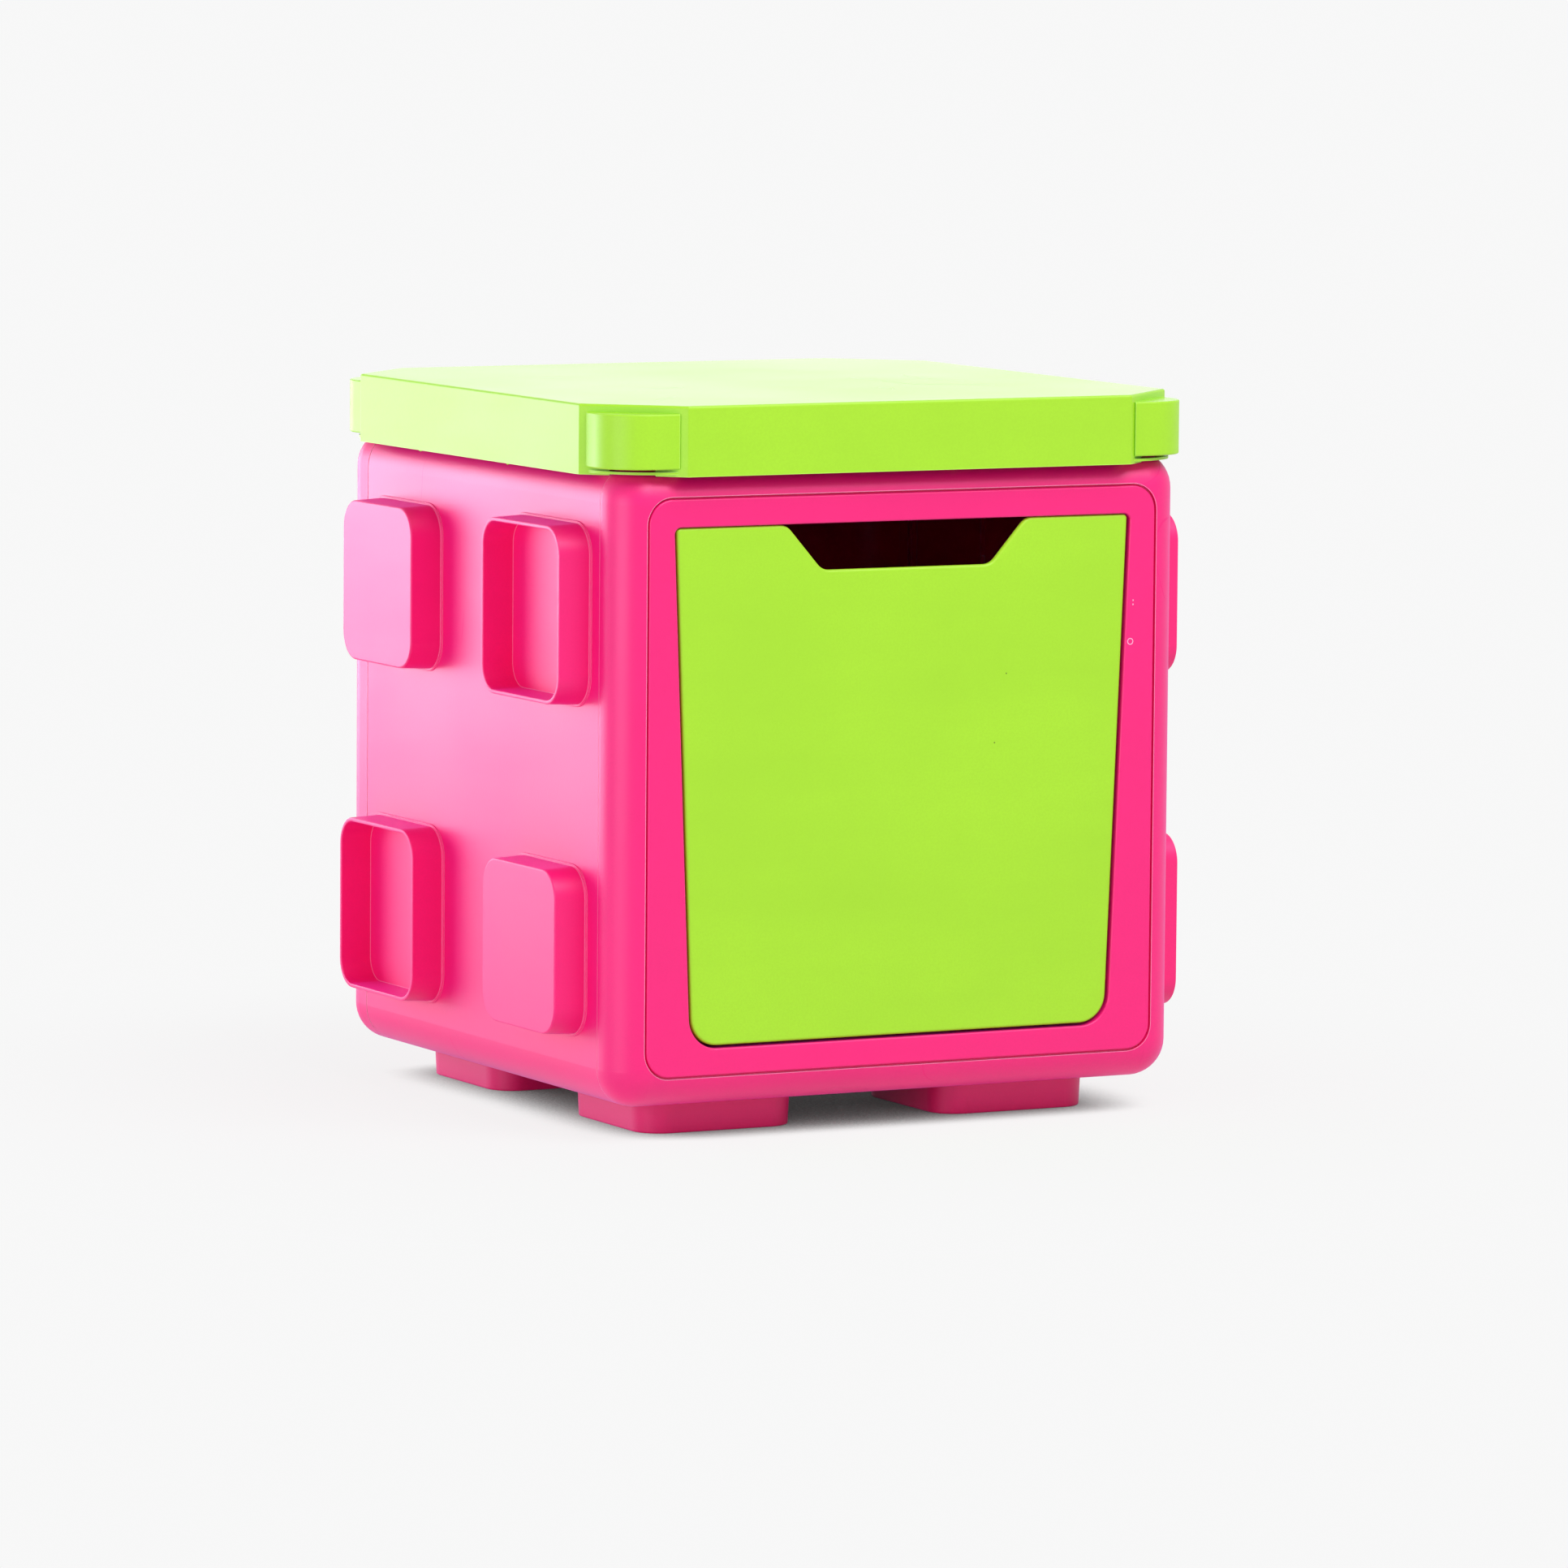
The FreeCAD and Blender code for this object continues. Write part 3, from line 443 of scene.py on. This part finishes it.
GROUP_MAKERS = {
    "moulded_grain": make_grain_group,
    "melt_drift": make_drift_group,
    "hairline_scuffs": make_scuff_group,
    "rubbed_edges": make_edge_highlight_group,
    "upward_faces": make_upward_group,
}


def place_group(tree, name, vector=None, **values):
    """Instance of a shader group, which is made at its first use; its numbers are set."""
    node = tree.nodes.new("ShaderNodeGroup")
    node.node_tree = bpy.data.node_groups.get(name) or GROUP_MAKERS[name](name)
    if vector is not None:
        tree.links.new(vector, node.inputs["Vector"])
    for label, value in values.items():
        node.inputs[label].default_value = value
    return node


# Materials ---------------------------------------------------------------------------------------


def shaded(colour, factor):
    """The colour made lighter or darker."""
    return [min(1.0, c * factor) for c in colour]


def plastic(name, look, colour, edge_highlight_colour, roughness, grain=1.0, scuffs=0.0, polish=0.0):
    """Coloured polypropylene: grain, slow drift of tone, painted highlights along the edges,
    scuffs, glossier tops.
    """
    material = bpy.data.materials.new(name)
    material.use_nodes = True
    tree = material.node_tree
    shader = tree.nodes["Principled BSDF"]
    shader.inputs["IOR"].default_value = PLAIN_IOR

    place = tree.nodes.new("ShaderNodeTexCoord").outputs["Object"]
    pebbles = place_group(tree, "moulded_grain", place, Scale=1 / look.grain_size)
    drift = place_group(tree, "melt_drift", place, Seed=DRIFT_SEEDS[name]).outputs["Drift"]
    scuff = place_group(tree, "hairline_scuffs", place).outputs["Mask"]
    edges = place_group(tree, "rubbed_edges", Width=look.edge_width).outputs["Mask"]
    upward = place_group(tree, "upward_faces").outputs["Mask"]

    dark, light = (shaded(colour, shade) for shade in DRIFT_SHADES)
    tint = mix_colour(tree, ramp(tree, drift, *DRIFT_RANGE), dark, light)
    speckle = math_node(tree, "MULTIPLY", pebbles.outputs["Speckle"], SPECKLE_SHARE)
    tint = mix_colour(tree, speckle, tint, shaded(colour, SPECKLE_SHADE))
    # Painted highlight: the edges are mixed towards the lighter edge colour.
    tint = mix_colour(tree, math_node(tree, "MULTIPLY", edges, look.edge_highlight_strength), tint, edge_highlight_colour)
    tree.links.new(tint, shader.inputs["Base Color"])

    swing = (roughness - DRIFT_ROUGHNESS, roughness + DRIFT_ROUGHNESS)
    rough = ramp(tree, drift, *DRIFT_RANGE, *swing)
    rough = math_node(tree, "ADD", rough, math_node(tree, "MULTIPLY", scuff, scuffs))
    rough = math_node(tree, "SUBTRACT", rough, math_node(tree, "MULTIPLY", upward, polish))
    tree.links.new(rough, shader.inputs["Roughness"])

    bump = tree.nodes.new("ShaderNodeBump")
    bump.inputs["Strength"].default_value = 1.0
    bump.inputs["Distance"].default_value = look.grain_depth * grain
    tree.links.new(pebbles.outputs["Height"], bump.inputs["Height"])
    tree.links.new(bump.outputs["Normal"], shader.inputs["Normal"])
    return material


def pink_plastic(name, look, roughness, grain=1.0, scuffs=0.0, shade=1.0):
    """The pink of the box, with the violet haze that its surface shows at a glancing angle. A
    shade below 1 darkens the colour as painted shade.
    """
    colour = shaded(look.pink, shade)
    material = plastic(name, look, colour, look.pink_edge_highlight, roughness, grain, scuffs)
    shader = material.node_tree.nodes["Principled BSDF"]
    shader.inputs["IOR"].default_value = PINK_IOR
    shader.inputs["Specular Tint"].default_value = PINK_SPECULAR_TINT
    shader.inputs["Sheen Weight"].default_value = look.haze
    shader.inputs["Sheen Roughness"].default_value = HAZE_ROUGHNESS
    shader.inputs["Sheen Tint"].default_value = HAZE_TINT
    return material


def lime_plastic(name, look, roughness, grain=1.0, scuffs=0.0, polish=0.0):
    """The lime of the door and the lid."""
    return plastic(name, look, look.lime, look.lime_edge_highlight, roughness, grain, scuffs, polish)


def finish_nodes(names, material):
    """Give CAD nodes their material."""
    for name in names:
        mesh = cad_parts[name].data
        mesh.materials.clear()
        mesh.materials.append(material)


# Small marks of the moulding ---------------------------------------------------------------------


def start_piece(name):
    """Name the new primitive and open it for editing with everything selected."""
    piece = bpy.context.object
    piece.name = piece.data.name = name
    bpy.ops.object.mode_set(mode="EDIT")
    bpy.ops.mesh.select_all(action="SELECT")
    return piece


def close_piece(piece, rounding, body, material):
    """Round the edges, settle the piece at the origin and hand it to its body."""
    bpy.ops.object.mode_set(mode="OBJECT")
    bevel = piece.modifiers.new("rounding", "BEVEL")
    bevel.width = rounding
    bevel.segments = ROUNDING_SEGMENTS
    bpy.ops.object.modifier_apply(modifier=bevel.name)
    bpy.ops.object.shade_smooth()
    bpy.ops.object.transform_apply(location=True, rotation=True, scale=True)
    piece.data.materials.append(material)
    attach(piece, body)


def ring_mark(name, place, marks, material):
    """Raised ring that an ejector leaves on the frame, facing forward."""
    bpy.ops.object.select_all(action="DESELECT")
    bpy.ops.mesh.primitive_circle_add(vertices=RING_SIDES, radius=marks.ring_radius,
                                      fill_type="NGON", location=place,
                                      rotation=(math.radians(90), 0, 0))
    piece = start_piece(name)
    bpy.ops.mesh.inset(thickness=marks.ring_radius * RING_BAND)
    bpy.ops.mesh.delete(type="FACE")
    bpy.ops.object.mode_set(mode="OBJECT")
    solid = piece.modifiers.new("height", "SOLIDIFY")
    solid.thickness = marks.height * 2
    solid.offset = 0
    bpy.ops.object.modifier_apply(modifier=solid.name)
    close_piece(piece, marks.height * RING_ROUNDING, "case", material)


def bead_marks(name, places, size, body, material):
    """Tapered beads of flash, numbered from 0."""
    for number, place in enumerate(places):
        bpy.ops.object.select_all(action="DESELECT")
        bpy.ops.mesh.primitive_cube_add(size=1, location=place, scale=size)
        piece = start_piece("%s_%d" % (name, number))
        bpy.ops.mesh.subdivide(number_cuts=BEAD_CUTS, smoothness=BEAD_SWELLING)
        close_piece(piece, min(size) * BEAD_ROUNDING, body, material)


# Stage -------------------------------------------------------------------------------------------


def floor_material(studio):
    """Pale paper that glows like the backdrop, with a painted shadow that darkens it under the
    box, and a share of the lamps' own shadow.
    """
    material = bpy.data.materials.new("studio_floor")
    material.use_nodes = True
    tree = material.node_tree
    tree.nodes.remove(tree.nodes["Principled BSDF"])
    place = tree.nodes.new("ShaderNodeTexCoord").outputs["Object"]

    # Painted shadow: the glow is darkened where the room is hidden from the floor, and painted
    # light lifts it left of the box.
    contact = tree.nodes.new("ShaderNodeAmbientOcclusion")
    contact.samples = CONTACT_SAMPLES
    contact.inputs["Distance"].default_value = studio.shadow_reach
    axes = tree.nodes.new("ShaderNodeSeparateXYZ")
    tree.links.new(place, axes.inputs[0])
    painted_side_light = ramp(tree, axes.outputs["X"], *PAINTED_SIDE_LIGHT, PAINTED_SIDE_LIGHT_AMOUNT, 0.0)
    openness = math_node(tree, "ADD", contact.outputs["AO"], painted_side_light)
    shade = ramp(tree, openness, studio.shadow_core, studio.shadow_edge)
    fibre = ramp(tree, noise_node(tree, place, PAPER_SCALE), *PAPER_RANGE, *PAPER_POWERS)
    shade = math_node(tree, "POWER", shade, fibre)
    glow = tree.nodes.new("ShaderNodeEmission")
    glow.inputs["Color"].default_value = WHITE
    tree.links.new(math_node(tree, "MULTIPLY", shade, studio.backdrop), glow.inputs["Strength"])

    matt = tree.nodes.new("ShaderNodeBsdfDiffuse")
    matt.inputs["Color"].default_value = FLOOR_COLOUR
    distance = tree.nodes.new("ShaderNodeVectorMath")
    distance.operation = "LENGTH"
    tree.links.new(place, distance.inputs[0])
    share = ramp(tree, distance.outputs["Value"], *CAST_SHADOW_FADE, 1 - studio.cast_shadow, 1.0)
    share = math_node(tree, "MULTIPLY", share, seen_ray(tree))
    mix_surfaces(tree, share, matt, glow, tree.nodes["Material Output"])
    return material


def build_floor(studio):
    """Large pale floor that fades into the backdrop."""
    bpy.ops.object.select_all(action="DESELECT")
    bpy.ops.mesh.primitive_circle_add(vertices=FLOOR_SIDES, radius=FLOOR_RADIUS,
                                      fill_type="NGON", location=(0, 0, 0))
    floor = bpy.context.object
    floor.name = "studio_floor"
    floor.data.materials.append(floor_material(studio))


def build_room(scene, studio):
    """Even light from all sides, seen as a pale backdrop."""
    world = bpy.data.worlds.new("studio_room")
    scene.world = world
    world.use_nodes = True
    tree = world.node_tree
    light = tree.nodes["Background"]
    light.inputs["Color"].default_value = WHITE
    light.inputs["Strength"].default_value = studio.room
    backdrop = tree.nodes.new("ShaderNodeBackground")
    backdrop.inputs["Color"].default_value = WHITE
    backdrop.inputs["Strength"].default_value = studio.backdrop
    mix_surfaces(tree, seen_ray(tree), light, backdrop, tree.nodes["World Output"])


def add_lamp(name, place, target, size, tint, power):
    """Rectangular soft lamp aimed at a point."""
    data = bpy.data.lights.new(name, "AREA")
    data.shape = "RECTANGLE"
    data.size, data.size_y = size
    data.energy = power
    data.color = tint
    lamp = bpy.data.objects.new(name, data)
    lamp.visible_camera = False
    bpy.context.scene.collection.objects.link(lamp)
    place, target = Vector(place), Vector(target)
    turn = (place - target).to_track_quat("Z", "Y").to_matrix().to_4x4()
    lamp.matrix_world = Matrix.Translation(place) @ turn


def build_lamps(studio):
    """Soft lamps behind the left side, to the left, behind the lid, and in front and above."""
    for name, (place, target, size, tint) in LAMPS.items():
        power = getattr(studio, name + "_power")
        add_lamp(name + "_lamp", place, target, size, tint, power)


def build_camera(scene, studio):
    """Camera a little above the box, in front of its left corner."""
    yaw, pitch, roll = (math.radians(a) for a in (CAMERA_YAW, CAMERA_PITCH, CAMERA_ROLL))
    ahead = Vector((math.sin(yaw) * math.cos(pitch), math.cos(yaw) * math.cos(pitch),
                    math.sin(pitch)))
    level = Vector((math.cos(yaw), -math.sin(yaw), 0))
    upright = level.cross(ahead)
    right = level * math.cos(roll) + upright * math.sin(roll)
    up = upright * math.cos(roll) - level * math.sin(roll)
    data = bpy.data.cameras.new("studio_camera")
    data.sensor_width = SENSOR_WIDTH
    data.lens = studio.lens
    data.clip_end = VIEW_DEPTH
    camera = bpy.data.objects.new("studio_camera", data)
    scene.collection.objects.link(camera)
    turn = Matrix((right, up, -ahead)).transposed().to_4x4()
    camera.matrix_world = Matrix.Translation(Vector(CAMERA_PLACE)) @ turn
    scene.camera = camera
    scene.view_settings.view_transform = "Standard"


# Operators ---------------------------------------------------------------------------------------


class CUBE_OT_finish_shell(bpy.types.Operator):
    """Finish the sleeve and the back cover"""

    bl_idname = "storage_cube.finish_shell"
    bl_label = "Shell"

    def execute(self, context):
        look = context.scene.storage_cube_plastic
        for node in SHELL_NODES:
            material = pink_plastic("pink_" + node, look, look.body_roughness, scuffs=SHELL_SCUFFS)
            finish_nodes((node,), material)
        return {"FINISHED"}


class CUBE_OT_finish_frame(bpy.types.Operator):
    """Finish the front frame and the hinge pins"""

    bl_idname = "storage_cube.finish_frame"
    bl_label = "Front frame"

    def execute(self, context):
        look = context.scene.storage_cube_plastic
        finish_nodes(FRAME_NODES, pink_plastic("pink_frame", look, look.body_roughness))
        return {"FINISHED"}


class CUBE_OT_finish_lugs(bpy.types.Operator):
    """Finish the studs, the sockets and the feet"""

    bl_idname = "storage_cube.finish_lugs"
    bl_label = "Lugs and feet"

    def execute(self, context):
        look = context.scene.storage_cube_plastic
        lugs = pink_plastic("pink_lugs", look, look.body_roughness + LUG_EXTRA_ROUGHNESS,
                            grain=LUG_GRAIN)
        # The feet's colour is darkened as painted shade, for the shadow under the box.
        feet = pink_plastic("pink_feet", look, look.body_roughness + FOOT_EXTRA_ROUGHNESS,
                            scuffs=FOOT_SCUFFS, shade=FOOT_PAINTED_SHADE)
        finish_nodes(LUG_NODES, lugs)
        finish_nodes(FOOT_NODES, feet)
        return {"FINISHED"}


class CUBE_OT_finish_door(bpy.types.Operator):
    """Finish the door"""

    bl_idname = "storage_cube.finish_door"
    bl_label = "Door"

    def execute(self, context):
        look = context.scene.storage_cube_plastic
        material = lime_plastic("lime_door", look, look.door_roughness, grain=DOOR_GRAIN)
        finish_nodes(DOOR_NODES, material)
        return {"FINISHED"}


class CUBE_OT_finish_lid(bpy.types.Operator):
    """Finish the lid and its corner clips"""

    bl_idname = "storage_cube.finish_lid"
    bl_label = "Lid"

    def execute(self, context):
        look = context.scene.storage_cube_plastic
        lid = lime_plastic("lime_lid", look, look.lid_roughness, scuffs=LID_SCUFFS,
                           polish=look.lid_polish)
        clips = lime_plastic("lime_clips", look, look.lid_roughness, polish=look.lid_polish)
        finish_nodes(LID_NODES, lid)
        finish_nodes(CLIP_NODES, clips)
        return {"FINISHED"}


class CUBE_OT_build_marks(bpy.types.Operator):
    """Model the small marks on the frame, under the lid and on the door"""

    bl_idname = "storage_cube.build_marks"
    bl_label = "Build moulding marks"

    def execute(self, context):
        look = context.scene.storage_cube_plastic
        marks = context.scene.storage_cube_marks
        # The pink marks take the painted edge highlight colour, so they show as light dots.
        pink = plastic("pink_marks", look, look.pink_edge_highlight, look.pink_edge_highlight, look.body_roughness)
        lime = lime_plastic("lime_marks", look, look.lid_roughness)
        dirt = shaded(look.lime, SPECK_SHADE)
        specks = plastic("lime_specks", look, dirt, dirt, look.door_roughness)
        bead = marks.bead_size
        bead_sizes = [tuple(bead * side for side in shape)
                      for shape in (FRAME_BEAD_SHAPE, LID_FLASH_SHAPE, DOOR_SPECK_SHAPE)]
        flash_places = [(LID_LEFT_FACE + bead, y, LID_LOWER_EDGE) for y in LID_FLASH_DEPTHS]
        ring_mark("ejector_ring", RING_PLACE, marks, pink)
        bead_marks("frame_bead", FRAME_BEAD_PLACES, bead_sizes[0], "case", pink)
        bead_marks("lid_flash", flash_places, bead_sizes[1], "lid", lime)
        bead_marks("door_speck", DOOR_SPECK_PLACES, bead_sizes[2], "door", specks)
        return {"FINISHED"}


class CUBE_OT_build_stage(bpy.types.Operator):
    """Build the floor, the lamps, the room light and the camera"""

    bl_idname = "storage_cube.build_stage"
    bl_label = "Studio"

    def execute(self, context):
        studio = context.scene.storage_cube_studio
        build_floor(studio)
        build_room(context.scene, studio)
        build_lamps(studio)
        build_camera(context.scene, studio)
        return {"FINISHED"}


# Panel and registration --------------------------------------------------------------------------


class CUBE_PT_finish(bpy.types.Panel):
    """Finish and studio of the storage cube"""

    bl_idname = "CUBE_PT_finish"
    bl_label = "Storage cube"
    bl_space_type = "VIEW_3D"
    bl_region_type = "UI"
    bl_category = "Cube"

    def draw(self, context):
        scene = context.scene
        for settings in (scene.storage_cube_plastic, scene.storage_cube_marks,
                         scene.storage_cube_studio):
            column = self.layout.column()
            for label in settings.__annotations__:
                column.prop(settings, label)
        for operator in OPERATORS:
            self.layout.operator(operator.bl_idname)


OPERATORS = (CUBE_OT_finish_shell, CUBE_OT_finish_frame, CUBE_OT_finish_lugs, CUBE_OT_finish_door,
             CUBE_OT_finish_lid, CUBE_OT_build_marks, CUBE_OT_build_stage)
CLASSES = (PlasticSettings, MarkSettings, StudioSettings, *OPERATORS, CUBE_PT_finish)


def register():
    """Register the settings, the operators and the panel."""
    for cls in CLASSES:
        bpy.utils.register_class(cls)
    bpy.types.Scene.storage_cube_plastic = PointerProperty(type=PlasticSettings)
    bpy.types.Scene.storage_cube_marks = PointerProperty(type=MarkSettings)
    bpy.types.Scene.storage_cube_studio = PointerProperty(type=StudioSettings)


def unregister():
    """Remove what register added."""
    del bpy.types.Scene.storage_cube_plastic
    del bpy.types.Scene.storage_cube_marks
    del bpy.types.Scene.storage_cube_studio
    for cls in reversed(CLASSES):
        bpy.utils.unregister_class(cls)


def main():
    """Finish every piece, and build the marks and the studio."""
    register()
    bpy.ops.storage_cube.finish_shell()
    bpy.ops.storage_cube.finish_frame()
    bpy.ops.storage_cube.finish_lugs()
    bpy.ops.storage_cube.finish_door()
    bpy.ops.storage_cube.finish_lid()
    bpy.ops.storage_cube.build_marks()
    bpy.ops.storage_cube.build_stage()


if __name__ == "__main__":
    main()
